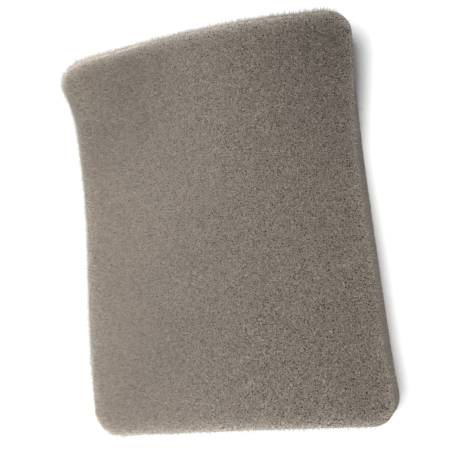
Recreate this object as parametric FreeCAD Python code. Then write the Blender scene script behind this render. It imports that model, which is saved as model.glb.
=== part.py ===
import FreeCAD, Part
import math
import os

# A foam air filter element for a small engine: one die-cut slab of open-cell foam with rounded
# corners, lying loose on a flat surface. It has taken a slight set: the +Y end curls up off the
# surface, and the corner at -X +Y curls up further.
#
# Millimetres, +Z up. The origin is on the surface that the pad lies on, under the middle of its
# outline. +Y runs along the pad's length, +X across its width.

# The die-cut blank
WIDTH = 65.0  # along X
LENGTH = 86.0  # along Y
THICKNESS = 10.0  # square to the sheet
CORNER_RADIUS = 6.0

# The set that the foam has taken
END_LIFT = 5.0  # rise of the underside at the +Y end
END_CURL_RUN = 34.0  # length of the curl, back from the +Y end
CORNER_LIFT = 6.0  # further rise of the underside at the tip of the -X +Y corner
CORNER_CURL_RUN = 32.0  # length of the corner's curl, back from its tip
CORNER_CURL_ANGLE = 38.0  # from -X towards +Y, in degrees: the way that the corner's curl runs
SETTLE = 0.05  # how far the foam's own weight flattens its underside where it rests

# How finely the curled skins are shaped
SKIN_STEP = 4.0  # spacing of the points that each skin passes through
SKIN_MARGIN = 6.0  # how far each skin runs past the outline before it is trimmed
SLOPE_STEP = 0.01  # distance over which a skin's slope is measured
TRIM_HEIGHT = 60.0  # taller than the curled pad


def corner_reach():
    """How far the tip of the curled corner lies from the origin, along the corner's curl."""
    angle = math.radians(CORNER_CURL_ANGLE)
    to_centre_x = WIDTH / 2 - CORNER_RADIUS
    to_centre_y = LENGTH / 2 - CORNER_RADIUS
    return to_centre_x * math.cos(angle) + to_centre_y * math.sin(angle) + CORNER_RADIUS


def curl(past_start, run, rise):
    """Rise of a sheet that bends evenly upwards, at a distance past the start of the bend."""
    return rise * max(0.0, past_start / run) ** 2


def lift(x, y):
    """Height of the relaxed underside above the resting surface."""
    past_end_start = y - (LENGTH / 2 - END_CURL_RUN)
    angle = math.radians(CORNER_CURL_ANGLE)
    towards_corner = y * math.sin(angle) - x * math.cos(angle)
    past_corner_start = towards_corner - (corner_reach() - CORNER_CURL_RUN)
    return (curl(past_end_start, END_CURL_RUN, END_LIFT)
            + curl(past_corner_start, CORNER_CURL_RUN, CORNER_LIFT))


def upright_thickness(x, y):
    """The sheet's thickness measured along Z, which grows where the sheet slopes."""
    slope_x = (lift(x + SLOPE_STEP, y) - lift(x, y)) / SLOPE_STEP
    slope_y = (lift(x, y + SLOPE_STEP) - lift(x, y)) / SLOPE_STEP
    return THICKNESS * math.sqrt(1 + slope_x ** 2 + slope_y ** 2)


def underside(x, y):
    return lift(x, y) - SETTLE


def upper_side(x, y):
    return lift(x, y) + upright_thickness(x, y)


def spread(size):
    """Evenly spaced places that cover a side of the outline and the skin's margin."""
    reach = size / 2 + SKIN_MARGIN
    steps = math.ceil(2 * reach / SKIN_STEP)
    return [-reach + 2 * reach * i / steps for i in range(steps + 1)]


def skin(height):
    """A smooth face through a height that is worked out over the whole outline."""
    rows = [[FreeCAD.Vector(x, y, height(x, y)) for y in spread(LENGTH)] for x in spread(WIDTH)]
    surface = Part.BSplineSurface()
    surface.interpolate(rows)
    return surface.toShape()


def corner_arc(centre_x, centre_y, start_degrees):
    """A quarter of a circle, anticlockwise, as one edge."""
    points = []
    for degrees in (start_degrees, start_degrees + 45, start_degrees + 90):
        angle = math.radians(degrees)
        x = centre_x + CORNER_RADIUS * math.cos(angle)
        y = centre_y + CORNER_RADIUS * math.sin(angle)
        points.append(FreeCAD.Vector(x, y, 0))
    return Part.Arc(*points).toShape()


def outline():
    """The die's cutting edge: a rectangle with four rounded corners."""
    x = WIDTH / 2 - CORNER_RADIUS
    y = LENGTH / 2 - CORNER_RADIUS
    arcs = [corner_arc(x, y, 0), corner_arc(-x, y, 90), corner_arc(-x, -y, 180),
            corner_arc(x, -y, 270)]
    edges = []
    for arc, following in zip(arcs, arcs[1:] + arcs[:1]):
        side = Part.LineSegment(arc.Vertexes[-1].Point, following.Vertexes[0].Point)
        edges += [arc, side.toShape()]
    return Part.Wire(edges)


def foam_pad():
    """The die-cut blank between its curled underside and its curled upper side."""
    up = FreeCAD.Vector(0, 0, TRIM_HEIGHT)
    blank = Part.Face(outline()).extrude(up)
    above_underside = skin(underside).extrude(up)
    below_upper_side = skin(upper_side).extrude(-up)
    return blank.common(above_underside).common(below_upper_side).Solids[0]


def main():
    os.makedirs("parts", exist_ok=True)
    pad = foam_pad()
    pad.exportStep("parts/foam_pad.step")
    box = pad.optimalBoundingBox(False)
    print("foam_pad: valid", pad.isValid(), "volume mm3", round(pad.Volume, 1))
    print("size mm", round(box.XLength, 2), round(box.YLength, 2), round(box.ZLength, 2))


main()
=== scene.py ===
import math

import bpy
import numpy as np
from mathutils import Matrix, Vector


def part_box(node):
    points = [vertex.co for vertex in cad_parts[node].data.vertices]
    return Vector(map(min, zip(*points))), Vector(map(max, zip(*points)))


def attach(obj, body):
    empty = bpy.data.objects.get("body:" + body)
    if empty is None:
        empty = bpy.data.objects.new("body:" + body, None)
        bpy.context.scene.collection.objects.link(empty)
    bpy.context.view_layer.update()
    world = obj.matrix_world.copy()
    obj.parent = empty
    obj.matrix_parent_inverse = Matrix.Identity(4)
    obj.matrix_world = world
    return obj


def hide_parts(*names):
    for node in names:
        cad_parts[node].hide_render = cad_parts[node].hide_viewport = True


# A foam air filter element: one die-cut slab of fine open-cell foam, lying loose on a white
# table with one end and one corner curled up. Metres, in the frame of the CAD model.

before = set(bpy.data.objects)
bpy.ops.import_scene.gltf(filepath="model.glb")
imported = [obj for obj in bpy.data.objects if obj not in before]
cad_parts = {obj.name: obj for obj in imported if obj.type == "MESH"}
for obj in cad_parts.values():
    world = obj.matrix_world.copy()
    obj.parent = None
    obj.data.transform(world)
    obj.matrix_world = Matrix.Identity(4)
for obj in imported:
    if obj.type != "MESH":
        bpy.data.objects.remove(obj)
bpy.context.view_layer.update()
pad_low, pad_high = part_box("foam_pad")

# ---------------------------------------------------------------- sizes of the pad
WIDTH = pad_high.x - pad_low.x
LENGTH = pad_high.y - pad_low.y
THICKNESS = 0.010  # square to the sheet
CORNER_RADIUS = 0.006
ARRIS = 0.0004  # rounding where a face meets the cut edge
CUT_HOLLOW = 0.0005  # how far the cut edge is drawn in at half its height

# The set that the foam has taken
END_LIFT = 0.005  # rise of the underside at the +Y end
END_CURL_RUN = 0.034
CORNER_LIFT = 0.006  # further rise at the tip of the -X +Y corner
CORNER_CURL_RUN = 0.032
CORNER_CURL_ANGLE = math.radians(38)  # from -X towards +Y

# How the soft outline leaves the straight sides of the die. Right is +X, left is -X, the end is
# +Y and the foot is -Y.
RIGHT_DRAWN_IN = 0.0010  # middle of the right side
RIGHT_SPREAD = 0.0001  # all along the right side
END_BOWED_OUT = 0.0027  # middle of the end
END_DRAWN_IN = 0.0004  # all along the end
FOOT_DRAWN_IN = 0.0002  # middle of the foot
NECK_DRAWN_IN = 0.0009  # of the left side, below the curled corner
NECK_PLACE = 0.74  # part of the half length
NECK_SPAN = 0.18
CORNER_FLARE = 0.0043  # how far the curled corner's tip is pulled out of square
FLARE_ACROSS = 0.85  # parts of it that go to the left and back along the length
FLARE_ALONG = 0.3
SQUARER_CORNERS = 0.0010  # how far the two right corners are pushed out of round
NEAR_CORNER_IN = 0.0005  # how far the corner of the left side and the foot is drawn in

# How far the upper arris of the right side stands in, at parts of the half length
LEAN_PLACES = (-1.0, -0.25, 0.3, 0.7, 1.0)
LEAN_SIZES = (0.0007, 0.0009, 0.0019, 0.0001, 0.0)
# and how far its lower arris does
LOWER_PLACES = (-0.4, 0.0, 0.3, 0.6, 1.0)
LOWER_SIZES = (0.0, 0.00015, 0.00045, 0.0007, 0.0008)
# and how far the pressed foam just above the table tucks under
TUCK = 0.0007
TUCK_HEIGHT = 0.0011

# The foam itself
CELL = 0.00043  # from one cell to the next
NET_STEP = 0.0004  # spacing of the mesh
ARRIS_STEPS = 3
PIT_DEPTH = 0.00006  # how deep an open cell dips below the struts
PIT_RIM = (0.04, 0.30)  # parts of a cell, from a strut inwards, over which it dips
ROUGH_HEIGHT = 0.00006  # unevenness from strut to strut
SWELL_HEIGHT = 0.00012  # slow unevenness of a skived face
SWELL_SIZE = 0.009

# Painted light along an arris: the foam is painted paler there, standing in for light shining
# through the thin fringe of broken struts
RIM_WIDTH = 0.0009
CUT_FADE = 1.5  # how many times faster it fades down the cut edge than over a face
CURLED_RIM = 0.3  # how much further it reaches where the pad is curled up most
RIGHT_RIM = 0.42  # part of that width, and of its strength, along the right side
LEFT_RIM = 0.57  # part of its strength along the left side
END_RIM = 0.2  # how much stronger it is at the end than at the middle
UNDER_RIM = 0.4  # part of its strength at the under face
FADE_DOWN_CUT = (-0.3, 0.3)  # parts of the thickness over which upper turns to under

# Broken struts that stand out of the surface
FACE_STRUTS_PER_M2 = 2.6e6
RIM_STRUTS_PER_M2 = 2.8e8
FACE_STRUT = (0.00030, 0.00006)  # length, radius
RIM_STRUT = (0.0016, 0.00003)
FACE_LEAN = 1.1  # how far they lean away from square
RIM_LEAN = 0.55
SHORTEST_STRUT = 0.3  # part of the full length
FEW_LONG = 2.2  # the higher, the fewer of them are long
STRUT_SIDES = 3
FACE_SEED = 7
RIM_SEED = 8
TABLE_GAP = (0.0013, 0.0026)  # heights over which they thin out towards the table
TURNED_DOWN = (-0.75, -0.1)  # slopes over which they thin out towards the under face
ROUND_ARRIS = (0.6, 0.97)  # slopes over which the cut turns to the face
FACE_FUZZ = 0.12  # part of the long ones' number on the face

# Where the long broken struts stand
FUZZ_WIDTH = 0.0008  # how far from an arris
FUZZ_PLACES = (-1.0, -0.85, -0.5, 0.85, 1.0)  # parts of the half length
FOOT_FUZZ = 0.14  # part of their number along the foot, where the die cut clean
END_FUZZ = 0.5
RIGHT_FUZZ = 0.015
NEAR_RIGHT = (0.8, 0.95)  # parts of the half width over which they thin out
UNDER_FUZZ = 0.3

# Painted light and shade on the upper face, laid into its colour, and its wear
PAINTED_EDGE_LIGHT_WIDTH = 0.009  # how far the painted light, which makes the face paler towards the outline, reaches in
# how much paler that painted light makes the face at the outline
PAINTED_EDGE_LIGHT = 0.3
PAINTED_TIP_LIGHT = 0.8  # painted light: more paleness at the tip of the curled corner
CREASE_SHADE = 0.08  # painted shade: how much darker the foam is painted where the corner folds
CREASE_PLACE = 0.33  # part of the corner's rise
CREASE_SPAN = 0.16
PAINTED_CORNER_SHADE = 0.10  # painted shade: how much darker the corner of the right side and the end is painted
CORNER_SHADE_ACROSS = (-0.15, 0.75)  # parts of the half width and half length that it spreads over
CORNER_SHADE_ALONG = (-0.2, 0.75)
WORN_SPAN = (-0.032, 0.018)  # from the worn left side to where the foam is crisp

# Colours of the foam, linear
STRUT_COLOUR = (0.26, 0.218, 0.176)
FACE_CELL_COLOUR = (0.024, 0.0195, 0.0152)
CUT_CELL_COLOUR = (0.03, 0.0245, 0.019)
LOOSE_STRUT_COLOUR = (0.30, 0.25, 0.204)
# painted light: the rim struts are paler than the other struts, standing in for light shining
# through them
RIM_STRUT_LIT_COLOUR = (0.60, 0.58, 0.525)
PAINTED_RIM_TINT = (0.94, 1.02, 1.10)  # painted light along the arris: how much each channel gains there
# strength of the painted light along the arris
PAINTED_RIM_LIGHT = 2.7

# How the pattern of cells is made up; a level of 0 is the bottom of a cell and 1 a strut
STRUT_EDGE = (0.01, 0.17)  # parts of a cell, from a strut's middle to its edge
SHALLOWEST = 0.55  # level of the shallowest cell
LOWER_STRUTS = (0.48, 0.66)  # noise over which a strut deeper down shows
LOWER_STRUT_LEVEL = 0.7
MEAN_LEVEL = 0.45
WORN_EVENS = 0.65  # how much of the contrast wear takes away
NAP_STRETCH = (0.35, 1.0, 1.0)  # the nap of worn foam lies along X
NAP_CONTRAST = 0.5
MOTTLE_PER_M = 140.0
FLECKED = (0.9985, 0.9995)  # share of the cells that carry no pale fleck
FLECK_PALENESS = 0.9
GLINT_NOISE = (0.56, 0.68)  # noise over which a strut catches the light
GLINT = 0.6
WORN_GLINT = 0.15
STRUT_ROUGHNESS = 0.78
BUMP_HEIGHT = 0.00012
DULL_SPECULAR = 0.25

# The camera
CAMERA_PLACE = (0.0386, -0.0253, 0.1367)
CAMERA_AIM = (-0.0021, 0.0018, 0.0)
CAMERA_ROLL = 0.080
FILM_WIDTH = 36
LENS = 50.1

# The table and the room
TABLE_HALF = 3.0
TABLE_DROP = 0.00002  # how far it lies under the pad
TABLE_WHITE = (0.95, 0.96, 0.965)
TABLE_GLOW = 0.04
ROOM_LIGHT = 0.06
ROOM_SEEN = 1.0  # the backdrop's brightness, seen directly


# ---------------------------------------------------------------- camera
def add_camera():
    """Looks almost straight down, from above the pad's +X side."""
    camera = bpy.data.objects.new("camera", bpy.data.cameras.new("camera"))
    bpy.context.scene.collection.objects.link(camera)
    place = Vector(CAMERA_PLACE)
    back = (place - Vector(CAMERA_AIM)).normalized()
    upwards = Vector((math.sin(CAMERA_ROLL), math.cos(CAMERA_ROLL), 0))
    right = upwards.cross(back).normalized()
    up = back.cross(right)
    turn = Matrix((right, up, back)).transposed()
    camera.matrix_world = Matrix.Translation(place) @ turn.to_4x4()
    camera.data.sensor_width = FILM_WIDTH
    camera.data.lens = LENS
    camera.data.clip_start = 0.005
    camera.data.clip_end = 20
    bpy.context.scene.camera = camera


# ---------------------------------------------------------------- the pad's rest shape
def curl(past_start, run, rise):
    """Rise, slope and drawing-in of a sheet that bends evenly upwards, past the bend's start."""
    s = np.clip(past_start, 0, None)
    height = rise * (s / run) ** 2
    slope = 2 * rise * s / run ** 2
    drawn_in = 2 / 3 * rise ** 2 * s ** 3 / run ** 4
    return height, slope, drawn_in


def corner_reach():
    """How far the tip of the curled corner lies from the middle, along the corner's curl."""
    c, s = math.cos(CORNER_CURL_ANGLE), math.sin(CORNER_CURL_ANGLE)
    return ((WIDTH / 2 - CORNER_RADIUS) * c + (LENGTH / 2 - CORNER_RADIUS) * s
            + CORNER_RADIUS)


def outline_shift(u, v, w):
    """How far the soft sheet has moved in its own plane from the square outline.

    The powers keep each shift to its own side or corner.
    """
    s = u / (WIDTH / 2)
    t = v / (LENGTH / 2)
    lean = np.interp(t, LEAN_PLACES, LEAN_SIZES) * (0.5 + w / THICKNESS)
    lean += np.interp(t, LOWER_PLACES, LOWER_SIZES) * (0.5 - w / THICKNESS)
    lean += TUCK * np.clip(1 - (THICKNESS / 2 + w) / TUCK_HEIGHT, 0, 1) ** 2
    lean *= np.clip(s, 0, 1) ** 6
    left, right = np.clip(-s, 0, 1), np.clip(s, 0, 1)
    end, foot = np.clip(t, 0, 1), np.clip(-t, 0, 1)
    across = -RIGHT_DRAWN_IN * right * (1 - t ** 2)
    across += RIGHT_SPREAD * right
    across += NEAR_CORNER_IN * left ** 4 * foot ** 6
    across += NECK_DRAWN_IN * left * np.exp(-((t - NECK_PLACE) / NECK_SPAN) ** 2)
    along = (END_BOWED_OUT * end * (1 - s ** 2 / 2) + FOOT_DRAWN_IN * foot) * (1 - s ** 2)
    along -= END_DRAWN_IN * end ** 4
    out_of_round = SQUARER_CORNERS * (right * abs(t)) ** 12
    tip = CORNER_FLARE * np.clip((t - s) / 2, 0, 1) ** 8
    return (across + out_of_round - lean - FLARE_ACROSS * tip,
            along + out_of_round * np.sign(t) - FLARE_ALONG * tip)


def curls(u, v):
    """The curl of the end and the curl of the corner, at places on the sheet."""
    past_corner = (v * math.sin(CORNER_CURL_ANGLE) - u * math.cos(CORNER_CURL_ANGLE)
                   - (corner_reach() - CORNER_CURL_RUN))
    return (curl(v - (LENGTH / 2 - END_CURL_RUN), END_CURL_RUN, END_LIFT),
            curl(past_corner, CORNER_CURL_RUN, CORNER_LIFT))


def bend(flat):
    """Moves points of the flat slab (w measured from its middle) to the curled rest shape."""
    u, v, w = flat.T
    c, s = math.cos(CORNER_CURL_ANGLE), math.sin(CORNER_CURL_ANGLE)
    (end_height, end_slope, end_in), (tip_height, tip_slope, tip_in) = curls(u, v)
    slope_x = -tip_slope * c
    slope_y = end_slope + tip_slope * s
    across, along = outline_shift(u, v, w)
    middle = np.stack([u + tip_in * c + across,
                       v - end_in - tip_in * s + along,
                       end_height + tip_height + THICKNESS / 2], 1)
    normal = np.stack([-slope_x, -slope_y, np.ones_like(u)], 1)
    normal /= np.linalg.norm(normal, axis=1)[:, None]
    return middle + normal * w[:, None]


# ---------------------------------------------------------------- the pad's mesh
def face_net():
    """An even net over one flat face, pushed in at the corners, and the outward direction."""
    half = np.array([WIDTH, LENGTH]) / 2 - ARRIS
    radius = CORNER_RADIUS - ARRIS
    counts = np.round(2 * half / NET_STEP).astype(int)
    x, y = np.meshgrid(np.linspace(-half[0], half[0], counts[0] + 1),
                       np.linspace(-half[1], half[1], counts[1] + 1), indexing="ij")
    p = np.clip((abs(x) - (half[0] - radius)) / radius, 0, 1)
    q = np.clip((abs(y) - (half[1] - radius)) / radius, 0, 1)
    round_p, round_q = p * np.sqrt(1 - q ** 2 / 2), q * np.sqrt(1 - p ** 2 / 2)
    in_corner = (p > 0) & (q > 0)
    x = np.where(in_corner, np.sign(x) * (half[0] - radius + round_p * radius), x)
    y = np.where(in_corner, np.sign(y) * (half[1] - radius + round_q * radius), y)
    outward = np.stack([np.sign(x) * round_p, np.sign(y) * round_q], -1)
    return np.stack([x, y], -1), outward


def rim_of(net):
    """Indices of the net's outermost points, anticlockwise."""
    last_x, last_y = net.shape[0] - 1, net.shape[1] - 1
    number = np.arange(net.shape[0] * net.shape[1]).reshape(net.shape[:2])
    return np.concatenate([number[:last_x, 0], number[last_x, :last_y],
                           number[last_x:0:-1, last_y], number[0, last_y:0:-1]])


def edge_profile():
    """The cut edge from the upper face to the under face, as (outwards, height) pairs."""
    turns = [math.pi / 2 * (i + 1) / ARRIS_STEPS for i in range(ARRIS_STEPS)]
    upper = [(ARRIS * math.sin(a), THICKNESS / 2 - ARRIS * (1 - math.cos(a))) for a in turns]
    wall = THICKNESS / 2 - ARRIS
    rows = round(2 * wall / NET_STEP)
    heights = [wall * (1 - 2 * i / rows) for i in range(1, rows)]
    cut = [(ARRIS - CUT_HOLLOW * (1 - (h / wall) ** 2), h) for h in heights]
    lower = [(out, -height) for out, height in reversed(upper)]
    return upper + cut + lower


def slab_mesh():
    """The flat slab as quads: upper face, cut edge, under face, and a bake map laid out flat."""
    net, outward = face_net()
    rim = rim_of(net)
    flat_net = net.reshape(-1, 2)
    profile = edge_profile()
    per_face, per_ring = len(flat_net), len(rim)
    rim_out = outward.reshape(-1, 2)[rim]
    rim_out = rim_out / np.linalg.norm(rim_out, axis=1)[:, None]
    parts = [np.c_[flat_net, np.full(per_face, THICKNESS / 2)]]
    for out, height in profile:
        parts.append(np.c_[flat_net[rim] + rim_out * out, np.full(per_ring, height)])
    parts.append(np.c_[flat_net, np.full(per_face, -THICKNESS / 2)])
    points = np.concatenate(parts)

    number = np.arange(per_face).reshape(net.shape[:2])
    a, b = number[:-1, :-1].ravel(), number[1:, :-1].ravel()
    c, d = number[1:, 1:].ravel(), number[:-1, 1:].ravel()
    upper = np.stack([a, b, c, d], 1)
    first_ring = per_face
    under_start = per_face + per_ring * len(profile)
    under = upper[:, ::-1] + under_start
    rings = [rim]
    rings += [first_ring + i * per_ring + np.arange(per_ring) for i in range(len(profile))]
    rings += [rim + under_start]
    edge = []
    for high, low in zip(rings, rings[1:]):
        edge.append(np.stack([high, low, np.roll(low, -1), np.roll(high, -1)], 1))
    faces = np.concatenate([upper, *edge, under])

    uv = bake_map(flat_net, rim, upper, len(edge))
    is_cut = np.zeros(len(faces), bool)
    is_cut[len(upper):len(faces) - len(upper)] = True
    return points, faces, uv, is_cut


def bake_map(flat_net, rim, upper, ring_count):
    """Both faces side by side, and the cut edge below them in three strips, in 0 to 1."""
    gap = 0.001
    sheet = 2 * WIDTH + 3 * gap
    place = flat_net + np.array([WIDTH, LENGTH]) / 2
    strip_count = 3
    edge_height = THICKNESS + gap
    base = strip_count * (edge_height + gap) + gap
    upper_uv = (place + [gap, base])[upper]
    under_uv = (place * [-1, 1] + [2 * WIDTH + 2 * gap, base])[upper[:, ::-1]]
    steps = np.linalg.norm(flat_net[np.roll(rim, -1)] - flat_net[rim], axis=1)
    along = np.concatenate([[0], np.cumsum(steps)])
    columns = len(rim)
    strip = np.arange(columns) * strip_count // columns
    start = along[:-1][np.searchsorted(strip, np.arange(strip_count))][strip]
    drops = np.linspace(THICKNESS, 0, ring_count + 1)
    edge_uv = []
    for high, low in zip(drops, drops[1:]):
        left = along[:-1] - start + gap
        right = along[1:] - start + gap
        level = strip * (edge_height + gap) + gap
        edge_uv.append(np.stack([np.c_[left, level + high], np.c_[left, level + low],
                                 np.c_[right, level + low], np.c_[right, level + high]], 1))
    uv = np.concatenate([upper_uv, *edge_uv, under_uv]).reshape(-1, 2)
    return uv / max(sheet, base + LENGTH + gap)


def from_arris(flat, cut_scale=1.0):
    """Distance of a point from the nearest arris, over the face or down the cut edge.

    A cut_scale above 1 makes the way down the cut edge count for more.
    """
    u, v, w = flat.T
    straight_x = WIDTH / 2 - CORNER_RADIUS
    straight_y = LENGTH / 2 - CORNER_RADIUS
    past_x = np.clip(abs(u) - straight_x, 0, None)
    past_y = np.clip(abs(v) - straight_y, 0, None)
    inset = CORNER_RADIUS - np.hypot(past_x, past_y)
    inset = np.where((past_x == 0) & (past_y == 0),
                     np.minimum(WIDTH / 2 - abs(u), LENGTH / 2 - abs(v)), inset)
    drop = THICKNESS / 2 - abs(w)
    return np.clip(inset, 0, None) + cut_scale * np.clip(drop, 0, None)


def under_share(w, share):
    """1 at the upper face, falling to a share at the under face."""
    return np.interp(w / THICKNESS, FADE_DOWN_CUT, (share, 1.0))


def painted_shading(flat):
    """Painted light and shade: paler towards the outline and at the tip of the curled corner,
    darker where the corner folds and at the corner of the right side and the end.
    """
    u, v, _ = flat.T
    corner_shade = (np.interp(u / (WIDTH / 2), CORNER_SHADE_ACROSS, (0, 1))
             * np.interp(v / (LENGTH / 2), CORNER_SHADE_ALONG, (0, 1)))
    edge = np.exp(-from_arris(flat) / PAINTED_EDGE_LIGHT_WIDTH)
    _, (tip_height, _, _) = curls(u, v)
    risen = tip_height / CORNER_LIFT
    crease = np.exp(-((risen - CREASE_PLACE) / CREASE_SPAN) ** 2)
    return (PAINTED_EDGE_LIGHT * edge * (1 - corner_shade) - PAINTED_CORNER_SHADE * corner_shade
            + PAINTED_TIP_LIGHT * risen ** 4 - CREASE_SHADE * crease)


def near_arris(flat):
    """How much painted light the foam gets along an arris, standing in for light shining through
    the thin fringe: strongest on the arris, falling to 0 away from it.
    """
    u, v, w = flat.T
    s, t = np.clip(u / (WIDTH / 2), -1, 1), np.clip(v / (LENGTH / 2), -1, 1)
    (end_height, _, _), (tip_height, _, _) = curls(u, v)
    risen = (end_height + tip_height) / (END_LIFT + CORNER_LIFT)
    width = RIM_WIDTH * (1 + CURLED_RIM * risen)
    on_right = 1 - (1 - RIGHT_RIM) * np.clip(s, 0, 1) ** 8 * (1 - t ** 8)
    on_left = 1 - (1 - LEFT_RIM) * np.clip(-s, 0, 1) ** 8 * (1 - t ** 8)
    strength = (1 + END_RIM * t) * on_left * on_right * under_share(w, UNDER_RIM)
    return strength * np.exp(-from_arris(flat, CUT_FADE) / (width * on_right))


def fuzziness(flat):
    """How many long broken struts stand out, from 0 to 1."""
    u, v, w = flat.T
    s, t = np.clip(u / (WIDTH / 2), -1, 1), np.clip(v / (LENGTH / 2), -1, 1)
    share = np.interp(t, FUZZ_PLACES, (FOOT_FUZZ, FOOT_FUZZ, 1, 1, END_FUZZ))
    share = share * np.interp(s, NEAR_RIGHT, (1, RIGHT_FUZZ))
    return share * under_share(w, UNDER_FUZZ) * np.exp(-from_arris(flat) / FUZZ_WIDTH)


def new_mesh(name, points, faces):
    """A smooth mesh of quads."""
    mesh = bpy.data.meshes.new(name)
    mesh.vertices.add(len(points))
    mesh.vertices.foreach_set("co", points.astype(np.float32).ravel())
    mesh.loops.add(faces.size)
    mesh.loops.foreach_set("vertex_index", faces.astype(np.int32).ravel())
    mesh.polygons.add(len(faces))
    mesh.polygons.foreach_set("loop_start", np.arange(len(faces), dtype=np.int32) * 4)
    mesh.polygons.foreach_set("use_smooth", np.ones(len(faces), bool))
    mesh.update(calc_edges=True)
    return mesh


def add_object(name, mesh):
    piece = bpy.data.objects.new(name, mesh)
    bpy.context.scene.collection.objects.link(piece)
    return piece


# ---------------------------------------------------------------- node helpers
def wire(tree, source, target):
    tree.links.new(source, target)


def add_node(tree, kind, **settings):
    node = tree.nodes.new(kind)
    for key, value in settings.items():
        setattr(node, key, value)
    return node


def maths(tree, operation, *inputs):
    """A Math node fed by sockets or plain numbers."""
    node = add_node(tree, "ShaderNodeMath", operation=operation)
    for socket, value in zip(node.inputs, inputs):
        if isinstance(value, (int, float)):
            socket.default_value = value
        else:
            wire(tree, value, socket)
    return node.outputs[0]


def ramp_between(tree, value, low, high, to_low=0.0, to_high=1.0):
    """A smooth step from to_low to to_high as the value goes from low to high."""
    node = add_node(tree, "ShaderNodeMapRange", interpolation_type="SMOOTHSTEP")
    wire(tree, value, node.inputs["Value"])
    for name, number in (("From Min", low), ("From Max", high),
                         ("To Min", to_low), ("To Max", to_high)):
        if isinstance(number, (int, float)):
            node.inputs[name].default_value = number
        else:
            wire(tree, number, node.inputs[name])
    return node.outputs["Result"]


# ---------------------------------------------------------------- geometry: open cells
def cell_relief_tree():
    """Sinks each open cell a little below its struts, with some unevenness from strut to strut."""
    tree = bpy.data.node_groups.new("open cells", "GeometryNodeTree")
    face = tree.interface
    face.new_socket("Pad", in_out="INPUT", socket_type="NodeSocketGeometry")
    for name in ("Cell Scale", "Pit Depth", "Rough Height", "Swell Height", "Swell Scale"):
        face.new_socket(name, in_out="INPUT", socket_type="NodeSocketFloat")
    for name in ("Face Foam", "Cut Foam"):
        face.new_socket(name, in_out="INPUT", socket_type="NodeSocketMaterial")
    face.new_socket("Pad", in_out="OUTPUT", socket_type="NodeSocketGeometry")
    given = add_node(tree, "NodeGroupInput").outputs
    place = add_node(tree, "GeometryNodeInputPosition").outputs[0]
    normal = add_node(tree, "GeometryNodeInputNormal").outputs[0]

    cells = add_node(tree, "ShaderNodeTexVoronoi", feature="DISTANCE_TO_EDGE")
    wire(tree, place, cells.inputs["Vector"])
    wire(tree, given["Cell Scale"], cells.inputs["Scale"])
    pit = maths(tree, "MULTIPLY", ramp_between(tree, cells.outputs["Distance"], *PIT_RIM),
                given["Pit Depth"])

    grain = add_node(tree, "ShaderNodeTexNoise")
    wire(tree, place, grain.inputs["Vector"])
    wire(tree, given["Cell Scale"], grain.inputs["Scale"])
    grain.inputs["Detail"].default_value = 1.0
    rough = maths(tree, "MULTIPLY", grain.outputs["Fac"], given["Rough Height"])

    slow = add_node(tree, "ShaderNodeTexNoise")
    wire(tree, place, slow.inputs["Vector"])
    wire(tree, given["Swell Scale"], slow.inputs["Scale"])
    slow.inputs["Detail"].default_value = 0.0
    swell = maths(tree, "MULTIPLY", slow.outputs["Fac"], given["Swell Height"])

    sink = maths(tree, "ADD", maths(tree, "ADD", pit, rough), swell)
    inwards = add_node(tree, "ShaderNodeVectorMath", operation="SCALE")
    wire(tree, normal, inwards.inputs[0])
    wire(tree, maths(tree, "MULTIPLY", sink, -1.0), inwards.inputs["Scale"])
    moved = add_node(tree, "GeometryNodeSetPosition")
    wire(tree, given["Pad"], moved.inputs["Geometry"])
    wire(tree, inwards.outputs[0], moved.inputs["Offset"])
    whole = add_node(tree, "GeometryNodeRealizeInstances")
    wire(tree, moved.outputs[0], whole.inputs[0])
    faced = add_node(tree, "GeometryNodeSetMaterial")
    wire(tree, whole.outputs[0], faced.inputs["Geometry"])
    wire(tree, given["Face Foam"], faced.inputs["Material"])
    is_cut = add_node(tree, "GeometryNodeInputNamedAttribute", data_type="BOOLEAN")
    is_cut.inputs["Name"].default_value = "cut_edge"
    dressed = add_node(tree, "GeometryNodeSetMaterial")
    wire(tree, faced.outputs[0], dressed.inputs["Geometry"])
    wire(tree, is_cut.outputs["Attribute"], dressed.inputs["Selection"])
    wire(tree, given["Cut Foam"], dressed.inputs["Material"])
    wire(tree, dressed.outputs[0], add_node(tree, "NodeGroupOutput").inputs[0])
    return tree


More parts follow.
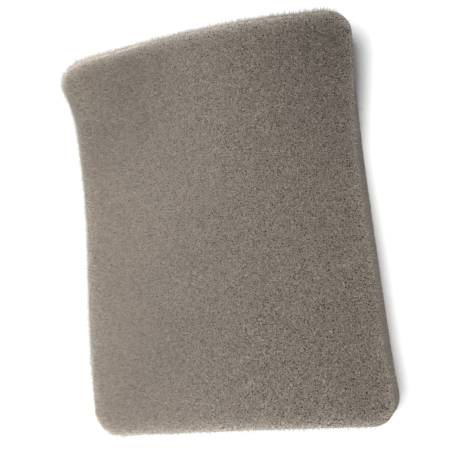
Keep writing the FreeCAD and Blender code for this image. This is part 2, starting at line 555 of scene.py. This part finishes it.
def strut_tree():
    """Scatters thin broken struts over the pad's upper side and cut edge."""
    tree = bpy.data.node_groups.new("broken struts", "GeometryNodeTree")
    face = tree.interface
    face.new_socket("Pad", in_out="INPUT", socket_type="NodeSocketGeometry")
    for name in ("Face Density", "Rim Density", "Length", "Radius", "Lean"):
        face.new_socket(name, in_out="INPUT", socket_type="NodeSocketFloat")
    face.new_socket("Seed", in_out="INPUT", socket_type="NodeSocketInt")
    face.new_socket("Foam", in_out="INPUT", socket_type="NodeSocketMaterial")
    face.new_socket("Struts", in_out="OUTPUT", socket_type="NodeSocketGeometry")
    given = add_node(tree, "NodeGroupInput").outputs

    rim = add_node(tree, "GeometryNodeInputNamedAttribute", data_type="FLOAT")
    rim.inputs["Name"].default_value = "fuzziness"
    facing = add_node(tree, "ShaderNodeSeparateXYZ")
    wire(tree, add_node(tree, "GeometryNodeInputNormal").outputs[0], facing.inputs[0])
    height = add_node(tree, "ShaderNodeSeparateXYZ")
    wire(tree, add_node(tree, "GeometryNodeInputPosition").outputs[0], height.inputs[0])
    off_the_table = maths(tree, "MULTIPLY",
                          ramp_between(tree, facing.outputs["Z"], *TURNED_DOWN),
                          ramp_between(tree, height.outputs["Z"], *TABLE_GAP))
    on_the_cut = ramp_between(tree, facing.outputs["Z"], *ROUND_ARRIS, 1.0, FACE_FUZZ)
    extra = maths(tree, "MULTIPLY", maths(tree, "MULTIPLY", rim.outputs["Attribute"], on_the_cut),
                  given["Rim Density"])
    density = maths(tree, "MULTIPLY", maths(tree, "ADD", extra, given["Face Density"]),
                    off_the_table)
    spots = add_node(tree, "GeometryNodeDistributePointsOnFaces")
    wire(tree, given["Pad"], spots.inputs["Mesh"])
    wire(tree, density, spots.inputs["Density"])
    wire(tree, given["Seed"], spots.inputs["Seed"])

    strut = add_node(tree, "GeometryNodeMeshCone", fill_type="NONE")
    strut.inputs["Vertices"].default_value = STRUT_SIDES
    strut.inputs["Radius Top"].default_value = 0.0
    wire(tree, given["Radius"], strut.inputs["Radius Bottom"])
    wire(tree, given["Length"], strut.inputs["Depth"])

    lean = add_node(tree, "FunctionNodeRandomValue", data_type="FLOAT_VECTOR")
    lean.inputs["Min"].default_value = (-1, -1, -1)
    wire(tree, given["Seed"], lean.inputs["Seed"])
    leaned = add_node(tree, "ShaderNodeVectorMath", operation="SCALE")
    wire(tree, lean.outputs["Value"], leaned.inputs[0])
    wire(tree, given["Lean"], leaned.inputs["Scale"])
    way = add_node(tree, "ShaderNodeVectorMath", operation="ADD")
    wire(tree, spots.outputs["Normal"], way.inputs[0])
    wire(tree, leaned.outputs[0], way.inputs[1])
    turned = add_node(tree, "FunctionNodeAlignRotationToVector", axis="Z")
    wire(tree, way.outputs[0], turned.inputs["Vector"])
    chance = add_node(tree, "FunctionNodeRandomValue", data_type="FLOAT")
    wire(tree, given["Seed"], chance.inputs["Seed"])
    size = add_node(tree, "ShaderNodeCombineXYZ")
    size.inputs["X"].default_value = 1.0
    size.inputs["Y"].default_value = 1.0
    wire(tree, maths(tree, "ADD", maths(tree, "POWER", chance.outputs[1], FEW_LONG),
                     SHORTEST_STRUT), size.inputs["Z"])

    placed = add_node(tree, "GeometryNodeInstanceOnPoints")
    wire(tree, spots.outputs["Points"], placed.inputs["Points"])
    wire(tree, strut.outputs["Mesh"], placed.inputs["Instance"])
    wire(tree, turned.outputs[0], placed.inputs["Rotation"])
    wire(tree, size.outputs[0], placed.inputs["Scale"])
    whole = add_node(tree, "GeometryNodeRealizeInstances")
    wire(tree, placed.outputs[0], whole.inputs[0])
    dressed = add_node(tree, "GeometryNodeSetMaterial")
    wire(tree, whole.outputs[0], dressed.inputs["Geometry"])
    wire(tree, given["Foam"], dressed.inputs["Material"])
    wire(tree, dressed.outputs[0], add_node(tree, "NodeGroupOutput").inputs[0])
    return tree


def run_tree(carrier, tree, values, name):
    """Runs a geometry tree on an object and returns its result as a plain mesh."""
    modifier = carrier.modifiers.new(tree.name, "NODES")
    modifier.node_group = tree
    for item in tree.interface.items_tree:
        if item.in_out == "INPUT" and item.name in values:
            modifier[item.identifier] = values[item.name]
    carrier.update_tag()
    depsgraph = bpy.context.evaluated_depsgraph_get()
    depsgraph.update()
    mesh = bpy.data.meshes.new_from_object(carrier.evaluated_get(depsgraph))
    mesh.name = name
    carrier.modifiers.remove(modifier)
    return mesh


# ---------------------------------------------------------------- materials
def foam_cells_group():
    """Open-cell foam: pale struts round dark cells, mottled, with painted glints on the struts,
    painted light and shade over the face, and painted light along the arrises.
    """
    tree = bpy.data.node_groups.new("foam cells", "ShaderNodeTree")
    face = tree.interface
    face.new_socket("Vector", in_out="INPUT", socket_type="NodeSocketVector")
    for name in ("Cell Scale", "Worn", "Painted Shading", "Mottle", "Fleck", "Rim", "Painted Rim Light"):
        face.new_socket(name, in_out="INPUT", socket_type="NodeSocketFloat")
    for name in ("Strut", "Cell"):
        face.new_socket(name, in_out="INPUT", socket_type="NodeSocketColor")
    face.new_socket("Colour", in_out="OUTPUT", socket_type="NodeSocketColor")
    for name in ("Roughness", "Height"):
        face.new_socket(name, in_out="OUTPUT", socket_type="NodeSocketFloat")
    given = add_node(tree, "NodeGroupInput").outputs
    out = add_node(tree, "NodeGroupOutput").inputs

    edges = add_node(tree, "ShaderNodeTexVoronoi", feature="DISTANCE_TO_EDGE")
    wire(tree, given["Vector"], edges.inputs["Vector"])
    wire(tree, given["Cell Scale"], edges.inputs["Scale"])
    strut = ramp_between(tree, edges.outputs["Distance"], *STRUT_EDGE, 1.0, 0.0)

    cells = add_node(tree, "ShaderNodeTexVoronoi", feature="F1")
    wire(tree, given["Vector"], cells.inputs["Vector"])
    wire(tree, given["Cell Scale"], cells.inputs["Scale"])
    tone = add_node(tree, "ShaderNodeSeparateColor")
    wire(tree, cells.outputs["Color"], tone.inputs[0])
    shallow = maths(tree, "MULTIPLY", tone.outputs[0], SHALLOWEST)

    grain = add_node(tree, "ShaderNodeTexNoise")
    wire(tree, given["Vector"], grain.inputs["Vector"])
    wire(tree, maths(tree, "MULTIPLY", given["Cell Scale"], 1.6), grain.inputs["Scale"])
    grain.inputs["Detail"].default_value = 1.5
    lower_struts = ramp_between(tree, grain.outputs["Fac"], *LOWER_STRUTS, 0.0, LOWER_STRUT_LEVEL)
    solid = maths(tree, "MAXIMUM", strut, maths(tree, "MAXIMUM", shallow, lower_struts))
    eased = maths(tree, "MULTIPLY", maths(tree, "SUBTRACT", solid, MEAN_LEVEL),
                  maths(tree, "MULTIPLY_ADD", given["Worn"], -WORN_EVENS, 1.0))

    nap_place = add_node(tree, "ShaderNodeVectorMath", operation="MULTIPLY")
    wire(tree, given["Vector"], nap_place.inputs[0])
    nap_place.inputs[1].default_value = NAP_STRETCH
    nap = add_node(tree, "ShaderNodeTexNoise")
    wire(tree, nap_place.outputs[0], nap.inputs["Vector"])
    wire(tree, given["Cell Scale"], nap.inputs["Scale"])
    nap.inputs["Detail"].default_value = 1.0
    streak = maths(tree, "MULTIPLY", maths(tree, "SUBTRACT", nap.outputs["Fac"], 0.5),
                   maths(tree, "MULTIPLY", given["Worn"], NAP_CONTRAST))
    level = maths(tree, "ADD", MEAN_LEVEL, maths(tree, "ADD", eased, streak))

    slow = add_node(tree, "ShaderNodeTexNoise")
    wire(tree, given["Vector"], slow.inputs["Vector"])
    slow.inputs["Scale"].default_value = MOTTLE_PER_M
    slow.inputs["Detail"].default_value = 3.0
    mottle = maths(tree, "MULTIPLY", maths(tree, "SUBTRACT", slow.outputs["Fac"], 0.5),
                   given["Mottle"])
    flecked = ramp_between(tree, tone.outputs[1], *FLECKED)
    fleck = maths(tree, "MULTIPLY", maths(tree, "MULTIPLY", flecked, strut), given["Fleck"])
    caught = ramp_between(tree, grain.outputs["Fac"], *GLINT_NOISE)
    glint = maths(tree, "MULTIPLY", caught,
                  maths(tree, "MULTIPLY_ADD", given["Worn"], WORN_GLINT - GLINT, GLINT))
    # the colour's gain holds painted light and shade over the face, the mottle, the flecks and
    # painted glints
    kept = maths(tree, "ADD", 1.0, given["Painted Shading"])
    gain = maths(tree, "ADD", maths(tree, "ADD", kept, mottle),
                 maths(tree, "ADD", fleck, glint))
    # painted light along the arris
    rim_light = add_node(tree, "ShaderNodeVectorMath", operation="SCALE")
    rim_light.inputs[0].default_value = PAINTED_RIM_TINT
    wire(tree, maths(tree, "MULTIPLY", given["Rim"], given["Painted Rim Light"]), rim_light.inputs["Scale"])
    paler = add_node(tree, "ShaderNodeVectorMath", operation="ADD")
    wire(tree, rim_light.outputs[0], paler.inputs[0])
    wire(tree, gain, paler.inputs[1])

    blend = add_node(tree, "ShaderNodeMix", data_type="RGBA")
    wire(tree, level, blend.inputs["Factor"])
    wire(tree, given["Cell"], blend.inputs[6])
    wire(tree, given["Strut"], blend.inputs[7])
    lit = add_node(tree, "ShaderNodeVectorMath", operation="MULTIPLY")
    wire(tree, blend.outputs[2], lit.inputs[0])
    wire(tree, paler.outputs[0], lit.inputs[1])
    wire(tree, lit.outputs[0], out["Colour"])
    wire(tree, ramp_between(tree, level, 0.0, 1.0, 1.0, STRUT_ROUGHNESS), out["Roughness"])
    wire(tree, level, out["Height"])
    return tree


def foam_material(name, group, worn, mottle, strut, cell, bump):
    """Foam that is worn smoother towards the left, from worn[0] there to worn[1] at the right."""
    material = bpy.data.materials.new(name)
    material.use_nodes = True
    tree = material.node_tree
    shader = tree.nodes["Principled BSDF"]
    place = add_node(tree, "ShaderNodeTexCoord")
    foam = add_node(tree, "ShaderNodeGroup", node_tree=group)
    wire(tree, place.outputs["Object"], foam.inputs["Vector"])
    foam.inputs["Cell Scale"].default_value = 1 / CELL
    foam.inputs["Mottle"].default_value = mottle
    foam.inputs["Fleck"].default_value = FLECK_PALENESS
    foam.inputs["Painted Rim Light"].default_value = PAINTED_RIM_LIGHT
    foam.inputs["Strut"].default_value = (*strut, 1)
    foam.inputs["Cell"].default_value = (*cell, 1)
    across = add_node(tree, "ShaderNodeSeparateXYZ")
    wire(tree, place.outputs["Object"], across.inputs[0])
    wire(tree, ramp_between(tree, across.outputs["X"], *WORN_SPAN, *worn),
         foam.inputs["Worn"])
    # painted light along the arrises, and painted light and shade over the face
    for name, socket in (("near_arris", "Rim"), ("painted_shading", "Painted Shading")):
        amount = add_node(tree, "ShaderNodeAttribute", attribute_name=name)
        wire(tree, amount.outputs["Fac"], foam.inputs[socket])
    wire(tree, foam.outputs["Colour"], shader.inputs["Base Color"])
    wire(tree, foam.outputs["Roughness"], shader.inputs["Roughness"])
    raised = add_node(tree, "ShaderNodeBump")
    raised.inputs["Strength"].default_value = bump
    raised.inputs["Distance"].default_value = BUMP_HEIGHT
    wire(tree, foam.outputs["Height"], raised.inputs["Height"])
    wire(tree, raised.outputs["Normal"], shader.inputs["Normal"])
    shader.inputs["Specular IOR Level"].default_value = DULL_SPECULAR
    shader.inputs["Sheen Weight"].default_value = 0.15
    shader.inputs["Sheen Roughness"].default_value = 0.6
    return material


def strut_material(name, colour):
    """A single broken strut is too thin to carry a pattern."""
    material = bpy.data.materials.new(name)
    material.use_nodes = True
    shader = material.node_tree.nodes["Principled BSDF"]
    shader.inputs["Base Color"].default_value = (*colour, 1)
    shader.inputs["Roughness"].default_value = 0.7
    shader.inputs["Specular IOR Level"].default_value = DULL_SPECULAR
    return material


# ---------------------------------------------------------------- pieces
def make_pad(face_foam, cut_foam):
    """The slab, bent to its rest shape, with every open cell sunk into its surface."""
    points, faces, uv, is_cut = slab_mesh()
    mesh = new_mesh("foam_pad_shape", bend(points), faces)
    layer = mesh.uv_layers.new(name="OFBake")
    layer.uv.foreach_set("vector", uv.astype(np.float32).ravel())
    # near_arris carries painted light along the arrises, and the last one painted light and shade
    # over the face
    for name, amount in (("near_arris", near_arris), ("fuzziness", fuzziness),
                         ("painted_shading", painted_shading)):
        layer = mesh.attributes.new(name, "FLOAT", "POINT")
        layer.data.foreach_set("value", amount(points).astype(np.float32))
    cut = mesh.attributes.new("cut_edge", "BOOLEAN", "FACE")
    cut.data.foreach_set("value", is_cut)
    shape = add_object("foam_pad_shape", mesh)
    values = {"Cell Scale": 1 / CELL, "Pit Depth": PIT_DEPTH, "Rough Height": ROUGH_HEIGHT,
              "Swell Height": SWELL_HEIGHT, "Swell Scale": 1 / SWELL_SIZE,
              "Face Foam": face_foam, "Cut Foam": cut_foam}
    foam_mesh = run_tree(shape, cell_relief_tree(), values, "filter_foam")
    bpy.data.objects.remove(shape)
    return add_object("filter_foam", foam_mesh)


def make_struts(name, pad, tree, per_face, per_rim, size, lean, seed, foam):
    """Broken struts as one mesh: evenly over the surface, or along the arrises, or both."""
    values = {"Face Density": per_face, "Rim Density": per_rim, "Length": size[0],
              "Radius": size[1], "Lean": lean, "Seed": seed, "Foam": foam}
    return add_object(name, run_tree(pad, tree, values, name))


# ---------------------------------------------------------------- table and light
def add_floor():
    """A plain white table."""
    corners = [(-TABLE_HALF, -TABLE_HALF), (TABLE_HALF, -TABLE_HALF),
               (TABLE_HALF, TABLE_HALF), (-TABLE_HALF, TABLE_HALF)]
    mesh = bpy.data.meshes.new("table_top")
    mesh.from_pydata([(x, y, pad_low.z - TABLE_DROP) for x, y in corners], [], [(0, 1, 2, 3)])
    floor = add_object("table_top", mesh)
    white = bpy.data.materials.new("white table")
    white.use_nodes = True
    shader = white.node_tree.nodes["Principled BSDF"]
    shader.inputs["Base Color"].default_value = (*TABLE_WHITE, 1)
    shader.inputs["Roughness"].default_value = 0.6
    shader.inputs["Specular IOR Level"].default_value = 0.2
    shader.inputs["Emission Color"].default_value = (1, 1, 1, 1)
    shader.inputs["Emission Strength"].default_value = TABLE_GLOW
    mesh.materials.append(white)
    return floor


def add_light(name, data, place, aim, tint, lit):
    """A lamp that looks at a point and lights only some of the objects."""
    data.color = tint
    light = bpy.data.objects.new(name, data)
    bpy.context.scene.collection.objects.link(light)
    light.location = place
    light.rotation_euler = (Vector(place) - Vector(aim)).to_track_quat("Z", "Y").to_euler()
    light.light_linking.receiver_collection = lit


def add_softbox(name, lit, place, aim, size, power, beam=180, tint=(1, 1, 1)):
    """A square soft light; the beam is its full angle in degrees."""
    data = bpy.data.lights.new(name, "AREA")
    data.size = size
    data.energy = power
    data.spread = math.radians(beam)
    add_light(name, data, place, aim, tint, lit)


def add_sky(name, lit, place, strength, width):
    """A wide, even light from overhead; the width is its full angle in degrees."""
    data = bpy.data.lights.new(name, "SUN")
    data.energy = strength
    data.angle = math.radians(width)
    add_light(name, data, place, (0, 0, 0), (1, 1, 1), lit)


def objects_lit(name, members):
    """A collection that a light can be kept to."""
    lit = bpy.data.collections.new(name)
    for member in members:
        lit.objects.link(member)
    return lit


def add_lights(pieces, floor):
    """Soft lights from the left and the foot for the pad, and an even one for the table."""
    pad = objects_lit("pad", pieces)
    table = objects_lit("table", [floor])
    add_softbox("window", pad, place=(-0.07, -0.07, 0.15), aim=(-0.07, -0.07, 0.0),
                size=0.11, power=0.10, tint=(0.965, 0.97, 1.0))
    add_softbox("near_card", pad, place=(-0.05, -0.12, 0.14), aim=(-0.05, -0.08, 0.0),
                size=0.08, power=0.062)
    add_softbox("low_card", pad, place=(-0.10, -0.13, 0.06), aim=(-0.02, -0.03, 0.01),
                size=0.05, power=0.25, tint=(0.975, 0.98, 1.0))
    add_softbox("right_card", pad, place=(0.35, -0.02, 0.06), aim=(0.03, 0.0, 0.005),
                size=0.14, power=0.42, tint=(1.0, 0.985, 0.96))
    add_softbox("far_card", pad, place=(-0.10, 0.25, 0.20), aim=(-0.03, 0.04, 0.01),
                size=0.08, power=0.05, beam=24)
    add_sky("ceiling", table, place=(-0.078, -0.085, 0.5), strength=3.7, width=30)
    world = bpy.data.worlds.new("room")
    bpy.context.scene.world = world
    world.use_nodes = True
    tree = world.node_tree
    sky = tree.nodes["Background"]
    sky.inputs["Color"].default_value = (1, 1, 1, 1)
    seen = add_node(tree, "ShaderNodeLightPath").outputs["Is Camera Ray"]
    wire(tree, maths(tree, "MULTIPLY_ADD", seen, ROOM_SEEN - ROOM_LIGHT, ROOM_LIGHT),
         sky.inputs["Strength"])


# ---------------------------------------------------------------- build
bpy.context.scene.view_settings.view_transform = "Standard"
add_camera()
table_top = add_floor()

foam_cells = foam_cells_group()
face_foam = foam_material("filter foam", foam_cells, worn=(1.0, 0.0), mottle=0.22,
                          strut=STRUT_COLOUR, cell=FACE_CELL_COLOUR, bump=0.8)
cut_foam = foam_material("cut foam", foam_cells, worn=(0.8, 0.3), mottle=0.3,
                         strut=STRUT_COLOUR, cell=CUT_CELL_COLOUR, bump=0.7)
filter_foam = make_pad(face_foam, cut_foam)
struts = strut_tree()
face_struts = make_struts("face_struts", filter_foam, struts, FACE_STRUTS_PER_M2, 0.0,
                          FACE_STRUT, FACE_LEAN, FACE_SEED,
                          strut_material("foam struts", LOOSE_STRUT_COLOUR))
# the rim struts' pale colour is painted light shining through them
rim_struts = make_struts("rim_struts", filter_foam, struts, 0.0, RIM_STRUTS_PER_M2,
                         RIM_STRUT, RIM_LEAN, RIM_SEED,
                         strut_material("rim struts with painted light", RIM_STRUT_LIT_COLOUR))
add_lights((filter_foam, face_struts, rim_struts), table_top)

for piece in (filter_foam, face_struts, rim_struts):
    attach(piece, "root")
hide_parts("foam_pad")
